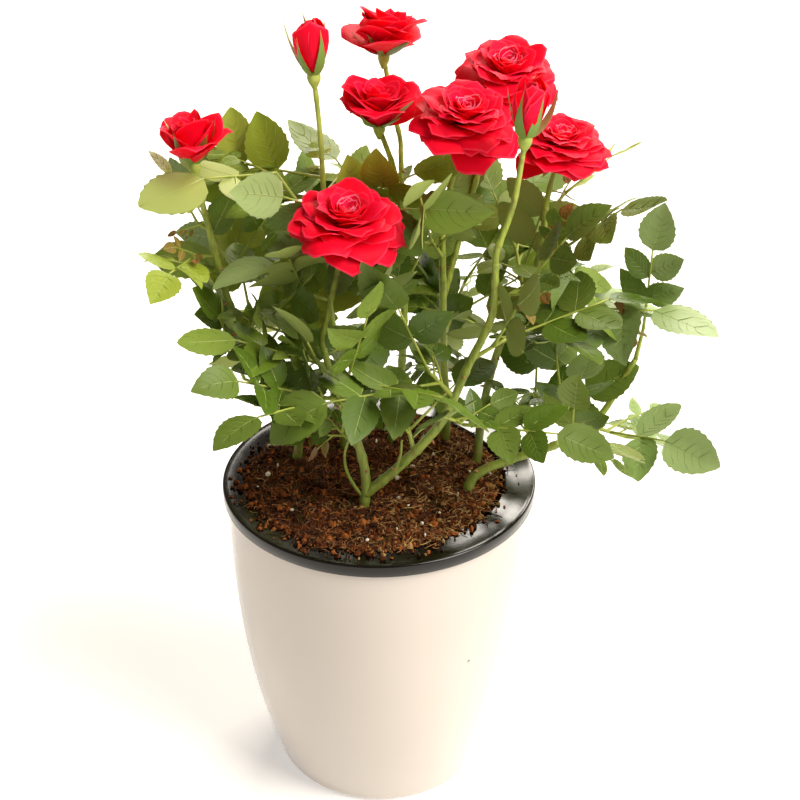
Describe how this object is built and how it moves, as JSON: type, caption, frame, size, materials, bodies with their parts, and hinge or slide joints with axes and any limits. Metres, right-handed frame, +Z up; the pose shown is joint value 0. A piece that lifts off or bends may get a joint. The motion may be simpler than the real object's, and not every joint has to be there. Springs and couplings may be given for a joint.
{
  "type": "rose bush",
  "caption": "Miniature rose bush built with its pot: canes, leaf sprays and blooms above a tapering pot with a wide inner collar.",
  "frame": {"origin": "centre of the pot's flat underside, on the surface it stands on", "axes": "+Z up along the pot's axis, +Y away from the front, +X to the right seen from the front"},
  "size_m": [0.2866, 0.197, 0.4036],
  "materials": {
    "pot": "gloss",
    "collar": "satin",
    "medium": "matte",
    "stem": "satin",
    "leaf": "satin",
    "flower": "matte"
  },
  "bodies": {
    "root": {"pot": "pot", "inner_pot": "collar", "growing_medium": "medium", "cane_front": "stem", "cane_arching": "stem", "cane_left": "stem", "cane_centre_left": "stem", "cane_centre": "stem", "cane_centre_fork": "stem", "cane_back": "stem", "cane_back_fork": "stem", "cane_right": "stem", "cane_high": "stem", "rose_front": "flower", "rose_left_bud": "flower", "rose_high_bud": "flower", "rose_top": "flower", "rose_centre": "flower", "rose_middle": "flower", "rose_upper": "flower", "rose_right": "flower", "rose_right_bud": "flower", "foliage_left_tip": "leaf", "foliage_left_upper": "leaf", "foliage_left_inner": "leaf", "foliage_left_middle": "leaf", "foliage_left_low": "leaf", "foliage_left_back": "leaf", "foliage_top_left": "leaf", "foliage_top_back_left": "leaf", "foliage_centre_left": "leaf", "foliage_back_left": "leaf", "foliage_front_upper": "leaf", "foliage_front_middle": "leaf", "foliage_front_left": "leaf", "foliage_front_low": "leaf", "foliage_front_right": "leaf", "foliage_centre_front": "leaf", "foliage_centre_low": "leaf", "foliage_arching_low": "leaf", "foliage_arching_middle": "leaf", "foliage_arching_upper": "leaf", "foliage_centre_top": "leaf", "foliage_centre_middle": "leaf", "foliage_centre_back": "leaf", "foliage_back_top": "leaf", "foliage_back_middle": "leaf", "foliage_back_low": "leaf", "foliage_high_upper": "leaf", "foliage_high_back": "leaf", "foliage_high_middle": "leaf", "foliage_right_far": "leaf", "foliage_right_upper": "leaf", "foliage_right_inner": "leaf", "foliage_right_middle": "leaf", "foliage_right_low": "leaf", "foliage_right_back": "leaf", "foliage_left_top": "leaf", "foliage_high_tip": "leaf"}
  },
  "joints": []
}
